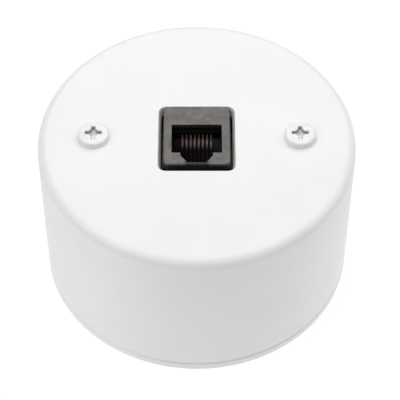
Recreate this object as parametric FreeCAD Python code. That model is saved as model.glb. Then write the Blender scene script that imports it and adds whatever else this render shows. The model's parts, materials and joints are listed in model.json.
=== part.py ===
import FreeCAD, Part
import math
import os

# Surface mount jack box: a round, deep housing in two parts with one shielded modular jack in its face.
# The jack is a tool-less type: a die-cast housing with two hinged rear doors that hold the wires down.
# Origin: the middle of the base's mounting face. +Z points away from the wall, out of the jack's mouth.
# The two cover screws lie on the X axis. The jack's latch side is -Y ("near"), its contacts at +Y ("far").
# All sizes are in millimetres.

# Housing: cover and base
cover_radius = 39.25
face_height = 44.0
cover_wall = 2.5
cover_top = 2.5
cover_edge_round = 2.5
cover_root_bevel = 1.0
base_plate = 2.4
base_foot_bevel = 0.3
seam_bevel = 0.4
upstand_height = 5.0
upstand_wall = 1.8
upstand_gap = 0.15
cable_entry_radius = 15.0
cable_entry_bevel = 0.6

# Wall fixing slots in the base, on the Y axis
fixing_spacing = 54.0
fixing_hole_radius = 2.25
fixing_slot_length = 8.0
fixing_seat_height = 1.6
fixing_seat_wall = 2.2

# Break-out panel in the far wall of the cover, for mini trunking
breakout_width = 16.0
breakout_height = 12.0
breakout_groove = 1.0
breakout_skin = 0.8
breakout_side_gap = 1.0

# Cable tie anchor moulded on the base
anchor_radius = 24.0
anchor_bearing = -45.0
anchor_length = 9.0
anchor_width = 3.6
anchor_height = 4.6
anchor_corner_round = 0.9
anchor_tunnel_width = 5.2
anchor_tunnel_height = 2.4

# Pillars, bosses and the screws that hold the cover
screw_spacing = 50.8
pillar_radius = 4.6
pillar_draft = 1.5
cover_boss_drop = 5.5
cover_rib_thickness = 1.4
cover_rib_depth = 4.0
gusset_thickness = 1.4
gusset_height = 18.0
gusset_side_reach = 9.5
screw_radius = 2.0
screw_length = 20.0
screw_hole_gap = 0.25
screw_head_radius = 3.85
screw_head_height = 1.8
screw_head_bevel = 0.5
recess_width = 4.4
recess_slot = 1.15
recess_core_radius = 1.3
recess_depth = 1.9
recess_floor_share = 0.45
screw_point_bevel = 0.5
core_gap = 0.3
core_extra_depth = 1.5
insert_radius = 2.9
insert_length = 8.0
insert_seat_gap = 0.02
insert_thread_gap = 0.05
insert_groove_depth = 0.35
insert_groove_width = 1.6

# Jack face and the window it shows in
jack_width = 16.6
jack_height = 18.8
jack_middle_y = 0.6
jack_corner_round = 1.6
jack_face_bevel = 0.25
window_side_gap = 0.5
window_side_taper = 0.7
window_far_gap = 0.05
window_near_gap = 2.0
window_corner_round = 2.0

# Mouth of the jack, through the metal face
face_wall = 1.2
mouth_half_width = 6.2
mouth_far = 4.05
mouth_near = -5.0
mouth_step_half_width = 4.0
mouth_step_near = -5.9
mouth_tip_half_width = 2.3
mouth_tip_near = -8.1

# Die-cast jack housing
body_side_wall = 1.0
body_near_wall = 0.65
body_far_wall = 1.2
skirt_height = 7.9
skirt_side_inset = 1.3
shoulder_width = 1.7
shoulder_half_length = 6.0
shoulder_thickness = 2.0
lug_reach = 0.9
lug_half_width = 4.0
lug_height = 1.8
catch_gap = 0.1

# Plug cavity in the black contact carrier
cavity_half_width = 5.92
cavity_far = 2.45
cavity_near = -4.35
channel_half_width = 3.15
channel_near = -7.4
plug_depth = 12.6
cavity_floor = 1.6
insert_fit_gap = 0.05
comb_bar = 0.5
comb_slot_width = 0.66
comb_slot_floor = 1.2
leg_hole_gap = 0.05

# Spring contacts
contact_count = 8
contact_pitch = 1.016
contact_width = 0.46
contact_thickness = 0.3
contact_bend = 1.0
contact_lean = 28.0
contact_top_gap = 0.15
contact_front_offset = 2.45
contact_leg_offset = 3.6
contact_row_step = 1.5
contact_tip_height = 1.8
contact_pin_length = 0.8

# Side springs that touch the plug's shield
ground_thickness = 0.2
ground_width = 3.2
ground_middle_y = -1.0
ground_pocket_depth = 0.75
ground_pocket_gap = 0.15
ground_foot = 1.6
ground_arm = 4.0
ground_bow_angle = 14.0
ground_bend = 1.0

# Circuit board, terminal block and wire cap
stack_side_gap = 0.2
stack_end_inset = 1.6
board_thickness = 1.6
contact_hole_radius = 0.36
terminal_hole_radius = 0.46
block_height = 7.7
pin_relief_depth = 1.2
pin_relief_margin = 0.5
snap_reach = 0.6
snap_half_length = 1.5
snap_height = 1.2
snap_drop = 3.4
snap_gap = 0.1
cap_height = 6.9
cap_well_half_width = 5.8
cap_well_half_length = 2.2
cap_well_floor = 2.4
cap_cable_radius = 3.6
cap_slot_width = 1.2
cap_slot_depth = 3.1

# Insulation displacement terminals, four along each side of the block
terminal_columns = 4
terminal_pitch = 3.6
terminal_row_offset = 4.2
terminal_half_width = 1.2
terminal_thickness = 0.5
terminal_shoulder = 4.0
terminal_reach = 3.7
terminal_slot_half_width = 0.18
terminal_slot_depth = 4.2
terminal_lead_in = 0.6
terminal_pin_half_width = 0.3
terminal_gap = 0.06
terminal_tip_gap = 0.2

# Rear doors and their hinge pins
hinge_offset = 0.1
hinge_drop = 0.2
hinge_pin_radius = 0.75
pin_press_gap = 0.02
hinge_running_gap = 0.05
ear_radius = 1.5
ear_width = 1.5
ear_side_gap = 0.2
barrel_radius = 1.3
barrel_top_gap = 0.6
door_wall = 1.2
door_stack_gap = 0.7
door_floor_gap = 0.3
door_bend = 1.8
door_neck = 2.2
door_middle_gap = 0.15
door_skirt_gap = 0.3
door_cheek_wall = 0.9
door_cheek_front = 4.8
door_cheek_run = 4.2
door_cable_radius = 3.75

# Carrier that holds the jack behind the window
carrier_height = 6.0
carrier_wall = 2.5
carrier_corner_round = 1.5
carrier_ledge = 3.0
carrier_pocket = 0.75
carrier_pocket_side_gap = 0.3
carrier_far_pocket = 1.0
carrier_ear_thickness = 2.5
carrier_ear_half_width = 3.0
carrier_screw_x = 15.2
carrier_boss_radius = 2.6
carrier_screw_radius = 1.1
carrier_screw_length = 6.0
carrier_pilot_gap = 0.03
carrier_pilot_extra = 0.7
carrier_hole_gap = 0.3
carrier_head_radius = 2.2
carrier_head_height = 1.6
carrier_head_bevel = 0.45
carrier_point_bevel = 0.55
carrier_recess_width = 2.2
carrier_recess_slot = 0.6
carrier_recess_core_radius = 0.6
carrier_recess_depth = 0.9

# Release latch of the jack, in the near gap of the window
latch_thickness = 0.7
latch_window_gap = 0.1
latch_half_width = 6.6
latch_head_half_width = 7.1
latch_head_height = 1.4
latch_recess = 1.0
latch_pivot_drop = 3.3
latch_root_radius = 0.9
latch_trunnion_radius = 0.6
latch_trunnion_gap = 0.05
latch_bracket_width = 1.4
latch_bracket_gap = 0.2
latch_bracket_radius = 1.25
latch_bracket_web = 2.0
latch_barb_reach = 0.5
latch_barb_height = 1.9
latch_barb_gap = 0.15

# Levels that follow from the sizes above
cover_inner_radius = cover_radius - cover_wall
cover_underside = face_height - cover_top
pillar_top = cover_underside - cover_boss_drop
upstand_radius = cover_inner_radius - upstand_gap
screw_tip = face_height - screw_length
carrier_low = cover_underside - carrier_height
carrier_ledge_top = carrier_low + carrier_ledge
carrier_ear_top = carrier_low + carrier_ear_thickness
insert_front = face_height - face_wall
cavity_bottom = face_height - plug_depth
insert_rear = cavity_bottom - cavity_floor
board_rear = insert_rear - board_thickness
block_rear = board_rear - block_height
cap_rear = block_rear - cap_height
door_floor_inner = cap_rear - door_floor_gap
skirt_low = insert_rear - skirt_height
hinge_z = board_rear - hinge_drop
body_rear = hinge_z + barrel_radius + barrel_top_gap

jack_half_width = jack_width / 2
jack_far = jack_middle_y + jack_height / 2
jack_near = jack_middle_y - jack_height / 2
hinge_near_y = jack_near - hinge_offset
pocket_half_width = jack_half_width - body_side_wall
pocket_far = jack_far - body_far_wall
pocket_near = jack_near + body_near_wall
stack_half_width = pocket_half_width - stack_side_gap
stack_half_length = jack_height / 2 - stack_end_inset
window_half_width = jack_half_width + window_side_gap
window_far = jack_far + window_far_gap
window_near = jack_near - window_near_gap
latch_outer_y = window_near + latch_window_gap
latch_inner_y = latch_outer_y + latch_thickness
latch_pivot_y = (latch_outer_y + latch_inner_y) / 2
latch_pivot_z = carrier_low - latch_pivot_drop

POINT_MARGIN = 1.0      # how far a cutting tool runs past the face that it opens
SAME_PLACE = 1e-6       # two levels closer than this are one


def cylinder(radius, low, high, x=0.0, y=0.0):
    """Upright cylinder from one level to another."""
    return Part.makeCylinder(radius, high - low, FreeCAD.Vector(x, y, low))


def rod(radius, left, right, y, z):
    """Cylinder that lies along X."""
    return Part.makeCylinder(radius, right - left, FreeCAD.Vector(left, y, z), FreeCAD.Vector(1, 0, 0))


def block(left, right, near, far, low, high):
    """Plain box between six planes."""
    corner = FreeCAD.Vector(left, near, low)
    return Part.makeBox(right - left, far - near, high - low, corner)


def upright_edges(solid):
    """Edges of a solid that run straight along Z."""
    found = []
    for edge in solid.Edges:
        ends = [vertex.Point for vertex in edge.Vertexes]
        if len(ends) == 2 and abs(ends[0].x - ends[1].x) + abs(ends[0].y - ends[1].y) < SAME_PLACE:
            found.append(edge)
    return found


def rounded_block(left, right, near, far, low, high, radius):
    """Box with its four upright edges rounded."""
    solid = block(left, right, near, far, low, high)
    return solid.makeFillet(radius, upright_edges(solid))


def prism_z(outline, low, high):
    """Closed XY outline of straight runs, raised along Z."""
    points = [FreeCAD.Vector(x, y, low) for x, y in outline]
    face = Part.Face(Part.makePolygon(points + points[:1]))
    return face.extrude(FreeCAD.Vector(0, 0, high - low))


def prism_x(outline, left, right):
    """Closed YZ outline of straight runs, drawn out along X."""
    points = [FreeCAD.Vector(left, y, z) for y, z in outline]
    face = Part.Face(Part.makePolygon(points + points[:1]))
    return face.extrude(FreeCAD.Vector(right - left, 0, 0))


def prism_y(outline, near, far):
    """Closed XZ outline of straight runs, drawn out along Y."""
    points = [FreeCAD.Vector(x, near, z) for x, z in outline]
    face = Part.Face(Part.makePolygon(points + points[:1]))
    return face.extrude(FreeCAD.Vector(0, far - near, 0))


def corner_arc(start, middle, end):
    """Arc edge in the XZ plane through three (radius, level) points."""
    points = [FreeCAD.Vector(r, 0, z) for r, z in (start, middle, end)]
    return Part.Arc(*points).toShape()


def profile_edges(points):
    """Straight edges in the XZ plane through a list of (radius, level) points."""
    ends = [FreeCAD.Vector(r, 0, z) for r, z in points]
    return [Part.makeLine(ends[i], ends[i + 1]) for i in range(len(ends) - 1)]


def turned(edges):
    """Solid of revolution about Z from a closed ring of edges."""
    wire = Part.Wire(edges)
    return Part.Face(wire).revolve(FreeCAD.Vector(0, 0, 0), FreeCAD.Vector(0, 0, 1), 360)


def turned_points(points):
    """Solid of revolution about Z from (radius, level) corners."""
    return turned(profile_edges(points + points[:1]))


def quarter(centre, radius, start_angle, end_angle):
    """Start, middle and end of a round in a profile, as (radius, level) points."""
    angles = (start_angle, (start_angle + end_angle) / 2, end_angle)
    return [(centre[0] + radius * math.cos(math.radians(a)), centre[1] + radius * math.sin(math.radians(a)))
            for a in angles]


def bent_strip(start, heading, moves, thickness, place, depth):
    """Strip of even thickness that follows straight runs and bends, drawn out along one axis.

    Each move is ("run", length) or ("bend", radius, degrees), a left turn being positive.
    place turns the strip's own two coordinates into a point in space.
    """
    u, v = start
    angle = math.radians(heading)
    left_edges = []
    right_edges = []
    half = thickness / 2

    def side_point(side):
        return place(u - side * half * math.sin(angle), v + side * half * math.cos(angle))

    first = (side_point(1), side_point(-1))
    for move in moves:
        begin = (side_point(1), side_point(-1))
        if move[0] == "run":
            u += move[1] * math.cos(angle)
            v += move[1] * math.sin(angle)
            left_edges.append(Part.makeLine(begin[0], side_point(1)))
            right_edges.append(Part.makeLine(begin[1], side_point(-1)))
            continue
        radius, turn = move[1], math.radians(move[2])
        side = 1 if turn > 0 else -1
        centre_u = u - side * radius * math.sin(angle)
        centre_v = v + side * radius * math.cos(angle)
        middle = []
        for step in (turn / 2, turn / 2):
            angle += step
            u = centre_u + side * radius * math.sin(angle)
            v = centre_v - side * radius * math.cos(angle)
            middle.append((side_point(1), side_point(-1)))
        left_edges.append(Part.Arc(begin[0], middle[0][0], middle[1][0]).toShape())
        right_edges.append(Part.Arc(begin[1], middle[0][1], middle[1][1]).toShape())
    end_cap = Part.makeLine(side_point(1), side_point(-1))
    start_cap = Part.makeLine(first[1], first[0])
    wire = Part.Wire(left_edges + [end_cap] + right_edges[::-1] + [start_cap])
    return Part.Face(wire).extrude(depth)


def fused(first, others):
    """Union of solids with the seams between flush faces taken out."""
    return first.fuse(others).removeSplitter()


def mirrored(shape):
    """The same piece on the other side of the YZ plane."""
    return shape.mirror(FreeCAD.Vector(0, 0, 0), FreeCAD.Vector(1, 0, 0))


def mirrored_across_jack(shape):
    """The same piece on the far side of the jack's own middle plane."""
    return shape.mirror(FreeCAD.Vector(0, jack_middle_y, 0), FreeCAD.Vector(0, 1, 0))


def cross_recess(width, slot, core_radius, depth, floor_share, top):
    """Tool that cuts a cross recess: two tapering slots at right angles, with a cone between them."""
    def rectangle(length, breadth, level):
        corners = [(-length / 2, -breadth / 2), (length / 2, -breadth / 2),
                   (length / 2, breadth / 2), (-length / 2, breadth / 2)]
        points = [FreeCAD.Vector(x, y, level) for x, y in corners]
        return Part.makePolygon(points + points[:1])

    mouth = rectangle(width, slot, top)
    floor = rectangle(width * floor_share, slot * floor_share, top - depth)
    wing = Part.makeLoft([floor, mouth], True, True)
    other = wing.copy()
    other.rotate(FreeCAD.Vector(0, 0, 0), FreeCAD.Vector(0, 0, 1), 90)
    core = Part.makeCone(core_radius * floor_share, core_radius, depth, FreeCAD.Vector(0, 0, top - depth))
    return wing.fuse([other, core])


def headed_screw(shank_radius, length, head_radius, head_height, head_bevel, point_bevel):
    """Flat-topped screw that stands on its tip, with the underside of the head at level 0."""
    return turned_points([(0, -length), (shank_radius - point_bevel, -length),
                          (shank_radius, -length + point_bevel), (shank_radius, 0), (head_radius, 0),
                          (head_radius, head_height - head_bevel), (head_radius - head_bevel, head_height),
                          (0, head_height)])


# ---- Housing -------------------------------------------------------------------------------------------

def cover_shell():
    """Wall and top of the cover as one turned cup, open at the base."""
    outer_round = quarter((cover_radius - cover_edge_round, face_height - cover_edge_round),
                          cover_edge_round, 0, 90)
    edges = profile_edges([(cover_inner_radius, base_plate), (cover_radius - seam_bevel, base_plate),
                           (cover_radius, base_plate + seam_bevel), outer_round[0]])
    edges.append(corner_arc(*outer_round))
    edges += profile_edges([outer_round[2], (0, face_height), (0, cover_underside),
                            (cover_inner_radius - cover_root_bevel, cover_underside),
                            (cover_inner_radius, cover_underside - cover_root_bevel),
                            (cover_inner_radius, base_plate)])
    return turned(edges)


def cover_bosses():
    """Bosses under the cover's top for the cover screws and the carrier screws, with their ribs."""
    parts = []
    boss_x = screw_spacing / 2
    for side in (-1, 1):
        parts.append(cylinder(pillar_radius, pillar_top, cover_underside + cover_top / 2, side * boss_x))
        parts.append(cylinder(carrier_boss_radius, carrier_ear_top, cover_underside + cover_top / 2,
                              side * carrier_screw_x))
        ends = sorted((side * boss_x, side * (cover_inner_radius + cover_wall / 2)))
        parts.append(block(ends[0], ends[1], -cover_rib_thickness / 2, cover_rib_thickness / 2,
                           cover_underside - cover_rib_depth, cover_underside + cover_top / 2))
    return parts


def breakout_groove_tool():
    """Groove inside the far wall that outlines the break-out panel and leaves a thin skin."""
    half = breakout_width / 2
    top = base_plate + breakout_height
    outer = block(-half, half, 0, cover_radius, base_plate - POINT_MARGIN, top)
    inner = block(-half + breakout_groove, half - breakout_groove, 0, cover_radius,
                  base_plate - POINT_MARGIN, top - breakout_groove)
    reach = cylinder(cover_radius - breakout_skin, base_plate - POINT_MARGIN, top)
    bore = cylinder(cover_inner_radius - POINT_MARGIN, base_plate - POINT_MARGIN, top)
    return outer.cut(inner).common(reach).cut(bore)


def window_outline(level):
    """Outline of the cover's window at one level: its sides draw in from the face to the underside."""
    widening = window_side_taper * (level - cover_underside) / cover_top
    half_width = window_half_width + widening
    plate = rounded_block(-half_width, half_width, window_near, window_far, level, level + POINT_MARGIN,
                          window_corner_round)
    floor = min(plate.Faces, key=lambda face: face.CenterOfMass.z)
    return floor.OuterWire


def cover():
    solid = fused(cover_shell(), cover_bosses())
    window = Part.makeLoft([window_outline(cover_underside - POINT_MARGIN),
                            window_outline(face_height + POINT_MARGIN)], True, True)
    tools = [window, breakout_groove_tool()]
    for side in (-1, 1):
        tools.append(cylinder(screw_radius + screw_hole_gap, pillar_top - POINT_MARGIN,
                              face_height + POINT_MARGIN, side * screw_spacing / 2))
        pilot_end = carrier_low + carrier_screw_length + carrier_pilot_extra
        tools.append(cylinder(carrier_screw_radius + carrier_pilot_gap, carrier_ear_top - POINT_MARGIN,
                              pilot_end, side * carrier_screw_x))
    return solid.cut(tools)


def slot_tool(half_width, length, middle_y, low, high):
    """Upright slot that runs along Y, with round ends."""
    run = length / 2 - half_width
    ends = [cylinder(half_width, low, high, 0, middle_y + side * run) for side in (-1, 1)]
    middle = block(-half_width, half_width, middle_y - run, middle_y + run, low, high)
    return middle.fuse(ends).removeSplitter()


def pillar(side):
    """Tall tapered pillar with its gussets, on one side of the base."""
    x = side * screw_spacing / 2
    shaft = turned_points([(0, 0), (pillar_radius + pillar_draft / 2, 0), (pillar_radius, pillar_top),
                           (0, pillar_top)])
    shaft.translate(FreeCAD.Vector(x, 0, 0))
    half = gusset_thickness / 2
    foot = base_plate / 2
    top = base_plate + gusset_height
    outer = prism_y([(x, foot), (side * (upstand_radius - upstand_wall / 2), foot),
                     (side * (upstand_radius - upstand_wall / 2), base_plate + upstand_height / 2),
                     (x + side * pillar_radius, top), (x, top)], -half, half)
    parts = [outer]
    for way in (-1, 1):
        parts.append(prism_x([(0, foot), (way * gusset_side_reach, foot),
                              (way * gusset_side_reach, base_plate), (way * pillar_radius, top), (0, top)],
                             x - half, x + half))
    return shaft.fuse(parts)


def tie_anchor():
    """Low bridge on the base that a cable tie goes through."""
    low = base_plate / 2
    high = base_plate + anchor_height
    bridge = rounded_block(anchor_radius - anchor_width / 2, anchor_radius + anchor_width / 2,
                           -anchor_length / 2, anchor_length / 2, low, high, anchor_corner_round)
    tunnel = block(anchor_radius - anchor_width, anchor_radius + anchor_width, -anchor_tunnel_width / 2,
                   anchor_tunnel_width / 2, base_plate, base_plate + anchor_tunnel_height)
    bridge = bridge.cut(tunnel)
    bridge.rotate(FreeCAD.Vector(0, 0, 0), FreeCAD.Vector(0, 0, 1), anchor_bearing)
    return bridge


def base():
    plate = turned_points([(0, 0), (cover_radius - base_foot_bevel, 0), (cover_radius, base_foot_bevel),
                           (cover_radius, base_plate - seam_bevel), (cover_radius - seam_bevel, base_plate),
                           (0, base_plate)])
    upstand_top = base_plate + upstand_height
    upstand = cylinder(upstand_radius, base_plate / 2, upstand_top)
    upstand = upstand.cut(cylinder(upstand_radius - upstand_wall, 0, upstand_top + POINT_MARGIN))
    trunking_gap = breakout_width / 2 + breakout_side_gap
    upstand = upstand.cut(block(-trunking_gap, trunking_gap, 0, cover_radius, base_plate,
                                upstand_top + POINT_MARGIN))
    parts = [upstand, pillar(-1), pillar(1), tie_anchor()]
    tools = []
    for side in (-1, 1):
        middle = side * fixing_spacing / 2
        seat_half = fixing_hole_radius + fixing_seat_wall
        parts.append(slot_tool(seat_half, fixing_slot_length + 2 * fixing_seat_wall, middle, base_plate / 2,
                               base_plate + fixing_seat_height))
        tools.append(slot_tool(fixing_hole_radius, fixing_slot_length, middle, -POINT_MARGIN,
                               base_plate + fixing_seat_height + POINT_MARGIN))
        x = side * screw_spacing / 2
        tools.append(cylinder(insert_radius + insert_seat_gap, pillar_top - insert_length,
                              pillar_top + POINT_MARGIN, x))
        tools.append(cylinder(screw_radius + core_gap, screw_tip - core_extra_depth, pillar_top, x))
    entry = turned_points([(0, -POINT_MARGIN), (cable_entry_radius, -POINT_MARGIN),
                           (cable_entry_radius, base_plate - cable_entry_bevel),
                           (cable_entry_radius + cable_entry_bevel, base_plate),
                           (cable_entry_radius + cable_entry_bevel, base_plate + POINT_MARGIN),
                           (0, base_plate + POINT_MARGIN)])
    tools.append(entry)
    return fused(plate, parts).cut(tools)


def cover_screw(side):
    screw = headed_screw(screw_radius, screw_length, screw_head_radius, screw_head_height,
                         screw_head_bevel, screw_point_bevel)
    screw = screw.cut(cross_recess(recess_width, recess_slot, recess_core_radius, recess_depth,
                                   recess_floor_share, screw_head_height))
    screw.translate(FreeCAD.Vector(side * screw_spacing / 2, 0, face_height))
    return screw


def threaded_insert(side):
    """Brass insert in the top of a pillar, with a groove that keys it into the plastic."""
    bore = screw_radius + insert_thread_gap
    neck = insert_radius - insert_groove_depth
    middle = -insert_length / 2
    half = insert_groove_width / 2
    insert = turned_points([(bore, -insert_length), (insert_radius, -insert_length),
                            (insert_radius, middle - half), (neck, middle - half), (neck, middle + half),
                            (insert_radius, middle + half), (insert_radius, 0), (bore, 0)])
    insert.translate(FreeCAD.Vector(side * screw_spacing / 2, 0, pillar_top))
    return insert


# ---- Jack carrier --------------------------------------------------------------------------------------

def jack_carrier():
    ring = rounded_block(-window_half_width - carrier_wall, window_half_width + carrier_wall,
                         window_near - carrier_wall, window_far + carrier_wall, carrier_low,
                         cover_underside, carrier_corner_round)
    ears = []
    tools = [rounded_block(-window_half_width, window_half_width, window_near, window_far,
                           carrier_low - POINT_MARGIN, cover_underside + POINT_MARGIN, window_corner_round)]
    for side in (-1, 1):
        x = side * carrier_screw_x
        ends = sorted((side * window_half_width + side * carrier_wall / 2, x))
        ears.append(block(ends[0], ends[1], -carrier_ear_half_width, carrier_ear_half_width,
                          carrier_low, carrier_ear_top))
        ears.append(cylinder(carrier_ear_half_width, carrier_low, carrier_ear_top, x))
        tools.append(cylinder(carrier_screw_radius + carrier_hole_gap, carrier_low - POINT_MARGIN,
                              carrier_ear_top + POINT_MARGIN, x))
    near_half = latch_half_width + carrier_pocket_side_gap
    far_half = lug_half_width + carrier_pocket_side_gap
    tools.append(block(-near_half, near_half, window_near - carrier_pocket, 0, carrier_ledge_top,
                       cover_underside + POINT_MARGIN))
    tools.append(block(-far_half, far_half, 0, window_far + carrier_far_pocket, carrier_ledge_top,
                       cover_underside + POINT_MARGIN))
    return fused(ring, ears).cut(tools)


def carrier_screw(side):
    screw = headed_screw(carrier_screw_radius, carrier_screw_length, carrier_head_radius,
                         carrier_head_height, carrier_head_bevel, carrier_point_bevel)
    screw = screw.cut(cross_recess(carrier_recess_width, carrier_recess_slot, carrier_recess_core_radius,
                                   carrier_recess_depth, recess_floor_share, carrier_head_height))
    screw.rotate(FreeCAD.Vector(0, 0, 0), FreeCAD.Vector(1, 0, 0), 180)
    screw.translate(FreeCAD.Vector(side * carrier_screw_x, 0, carrier_low))
    return screw


# ---- Jack housing --------------------------------------------------------------------------------------

def mouth_outline():
    """Outline of the plug's way in: a wide opening with a stepped, sloping latch notch on its near side."""
    right = [(mouth_half_width, mouth_far), (mouth_half_width, mouth_near),
             (mouth_step_half_width, mouth_near), (mouth_step_half_width, mouth_step_near),
             (mouth_tip_half_width, mouth_tip_near)]
    return right + [(-x, y) for x, y in right[::-1]]


def front_tube():
    """Front of the die-cast housing, with a bevel round its face."""
    tube = rounded_block(-jack_half_width, jack_half_width, jack_near, jack_far, body_rear, face_height,
                         jack_corner_round)
    rim = [edge for edge in tube.Edges if abs(edge.BoundBox.ZMin - face_height) < SAME_PLACE]
    return tube.makeChamfer(jack_face_bevel, rim)


def hinge_ear(left, right, solid_left):
    """Round ear for a hinge pin at the near side, with the web that ties it to the housing's side wall."""
    ear = rod(ear_radius, left, right, hinge_near_y, hinge_z)
    skirt_edge = jack_near + skirt_side_inset
    web = block(solid_left, solid_left + body_side_wall, jack_near, skirt_edge + POINT_MARGIN,
                hinge_z - ear_radius, body_rear + POINT_MARGIN)
    return ear.fuse(web)


def latch_bracket(left, right):
    """Bracket on the near wall that holds one end of the latch."""
    eye = rod(latch_bracket_radius, left, right, latch_pivot_y, latch_pivot_z)
    web = block(left, right, latch_pivot_y, jack_near + jack_corner_round,
                latch_pivot_z - latch_bracket_web / 2, latch_pivot_z + latch_bracket_web / 2)
    return eye.fuse(web)


def jack_body():
    parts = []
    for side in (-1, 1):
        inner, outer = sorted((side * pocket_half_width, side * jack_half_width))
        parts.append(block(inner, outer, jack_near + skirt_side_inset, jack_far - skirt_side_inset,
                           skirt_low, body_rear + POINT_MARGIN))
        inner, outer = sorted((side * (jack_half_width - body_side_wall),
                               side * (jack_half_width + shoulder_width)))
        parts.append(block(inner, outer, jack_middle_y - shoulder_half_length,
                           jack_middle_y + shoulder_half_length, carrier_low - shoulder_thickness,
                           carrier_low))
        inner, outer = sorted((side * (jack_half_width - ear_width), side * jack_half_width))
        web_left = side * jack_half_width - (body_side_wall if side > 0 else 0)
        ear = hinge_ear(inner, outer, web_left)
        parts += [ear, mirrored_across_jack(ear)]
        bracket_inner = latch_half_width + latch_bracket_gap
        inner, outer = sorted((side * bracket_inner, side * (bracket_inner + latch_bracket_width)))
        parts.append(latch_bracket(inner, outer))
    lug = block(-lug_half_width, lug_half_width, jack_far - body_far_wall / 2, jack_far + lug_reach,
                carrier_ledge_top + catch_gap, carrier_ledge_top + catch_gap + lug_height)
    parts.append(lug)
    solid = fused(front_tube(), parts)
    pocket = block(-pocket_half_width, pocket_half_width, pocket_near, pocket_far,
                   skirt_low - POINT_MARGIN, insert_front)
    mouth = prism_z(mouth_outline(), insert_front - POINT_MARGIN, face_height + POINT_MARGIN)
    pin_hole = rod(hinge_pin_radius + pin_press_gap, -jack_half_width - POINT_MARGIN,
                   jack_half_width + POINT_MARGIN, hinge_near_y, hinge_z)
    latch_hole = rod(latch_trunnion_radius + latch_trunnion_gap, -jack_half_width, jack_half_width,
                     latch_pivot_y, latch_pivot_z)
    snap_window = block(-jack_half_width - POINT_MARGIN, jack_half_width + POINT_MARGIN,
                        jack_middle_y - snap_half_length - snap_gap,
                        jack_middle_y + snap_half_length + snap_gap,
                        board_rear - snap_drop - snap_height - snap_gap, board_rear - snap_drop + snap_gap)
    return solid.cut([pocket, mouth, pin_hole, mirrored_across_jack(pin_hole), latch_hole, snap_window])


def jack_latch():
    """Release lever: an arm with a barb, a wide head in the window's near gap and a pivot at its root."""
    head_top = face_height - latch_recess
    arm = block(-latch_half_width, latch_half_width, latch_outer_y, latch_inner_y, latch_pivot_z, head_top)
    head = block(-latch_head_half_width, latch_head_half_width, latch_outer_y, latch_inner_y,
                 head_top - latch_head_height, head_top)
    catch = carrier_ledge_top + latch_barb_gap
    barb = prism_x([(latch_inner_y, catch), (latch_outer_y - latch_barb_reach, catch),
                    (latch_outer_y, catch + latch_barb_height), (latch_inner_y, catch + latch_barb_height)],
                   -latch_half_width, latch_half_width)
    root = rod(latch_root_radius, -latch_half_width, latch_half_width, latch_pivot_y, latch_pivot_z)
    trunnion_end = latch_half_width + latch_bracket_gap + latch_bracket_width
    trunnion = rod(latch_trunnion_radius, -trunnion_end, trunnion_end, latch_pivot_y, latch_pivot_z)
    return fused(arm, [head, barb, root, trunnion])


# ---- Contact carrier and its springs -------------------------------------------------------------------

def contact_x(index):
    """Place of a spring contact along X."""
    return (index - (contact_count - 1) / 2) * contact_pitch


def contact_leg_y(index):
    """Contacts alternate between two rows of legs, so that their holes in the board have room."""
    return cavity_far + contact_leg_offset + contact_row_step * (index % 2)


def contact_carrier():
    slot_top = insert_front - comb_bar
    slot_low = cavity_bottom + comb_slot_floor
    half_width = pocket_half_width - insert_fit_gap
    solid = block(-half_width, half_width, pocket_near + insert_fit_gap, pocket_far - insert_fit_gap,
                  insert_rear, insert_front)
    mouth_level = insert_front + POINT_MARGIN
    tools = [block(-cavity_half_width, cavity_half_width, cavity_near, cavity_far, cavity_bottom,
                   mouth_level),
             block(-channel_half_width, channel_half_width, channel_near, 0, cavity_bottom, mouth_level)]
    half_slot = comb_slot_width / 2
    half_hole = contact_width / 2 + leg_hole_gap
    for index in range(contact_count):
        x = contact_x(index)
        leg_y = contact_leg_y(index)
        reach = contact_thickness / 2 + leg_hole_gap
        tools.append(block(x - half_slot, x + half_slot, 0, leg_y + reach, slot_low, slot_top))
        tools.append(block(x - half_hole, x + half_hole, leg_y - reach, leg_y + reach,
                           insert_rear - POINT_MARGIN, slot_low + POINT_MARGIN))
    pocket_half = ground_width / 2 + ground_pocket_gap
    for side in (-1, 1):
        ends = sorted((0, side * (cavity_half_width + ground_pocket_depth)))
        tools.append(block(ends[0], ends[1], ground_middle_y - pocket_half, ground_middle_y + pocket_half,
                           cavity_bottom, mouth_level))
    return solid.cut(tools)


def plug_contact(index):
    """Spring contact: a leg from the board, a bend at the front and a free arm that leans into the cavity."""
    leg_y = contact_leg_y(index)
    bottom = board_rear - contact_pin_length
    top = insert_front - comb_bar - contact_top_gap - contact_thickness / 2
    front_y = cavity_far + contact_front_offset
    turn = 90 - contact_lean
    bend_drop = contact_bend * (1 - math.cos(math.radians(turn)))
    tip_z = cavity_bottom + contact_tip_height
    arm = (top - bend_drop - tip_z) / math.cos(math.radians(contact_lean))
    moves = [("run", top - contact_bend - bottom), ("bend", contact_bend, 90),
             ("run", leg_y - contact_bend - front_y), ("bend", contact_bend, turn), ("run", arm)]
    left = contact_x(index) - contact_width / 2
    return bent_strip((leg_y, bottom), 90, moves, contact_thickness,
                      lambda y, z: FreeCAD.Vector(left, y, z), FreeCAD.Vector(contact_width, 0, 0))


def ground_spring():
    """Right-hand spring: a leaf in the side of the cavity, bowed towards the plug's shield."""
    near = ground_middle_y - ground_width / 2
    back = cavity_half_width + ground_pocket_depth - ground_thickness / 2
    moves = [("run", ground_foot), ("bend", ground_bend, ground_bow_angle), ("run", ground_arm),
             ("bend", ground_bend, -2 * ground_bow_angle), ("run", ground_arm)]
    return bent_strip((back, cavity_bottom), 90, moves, ground_thickness,
                      lambda x, z: FreeCAD.Vector(x, near, z), FreeCAD.Vector(0, ground_width, 0))


# ---- Board, terminals, block and wire cap --------------------------------------------------------------

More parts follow.
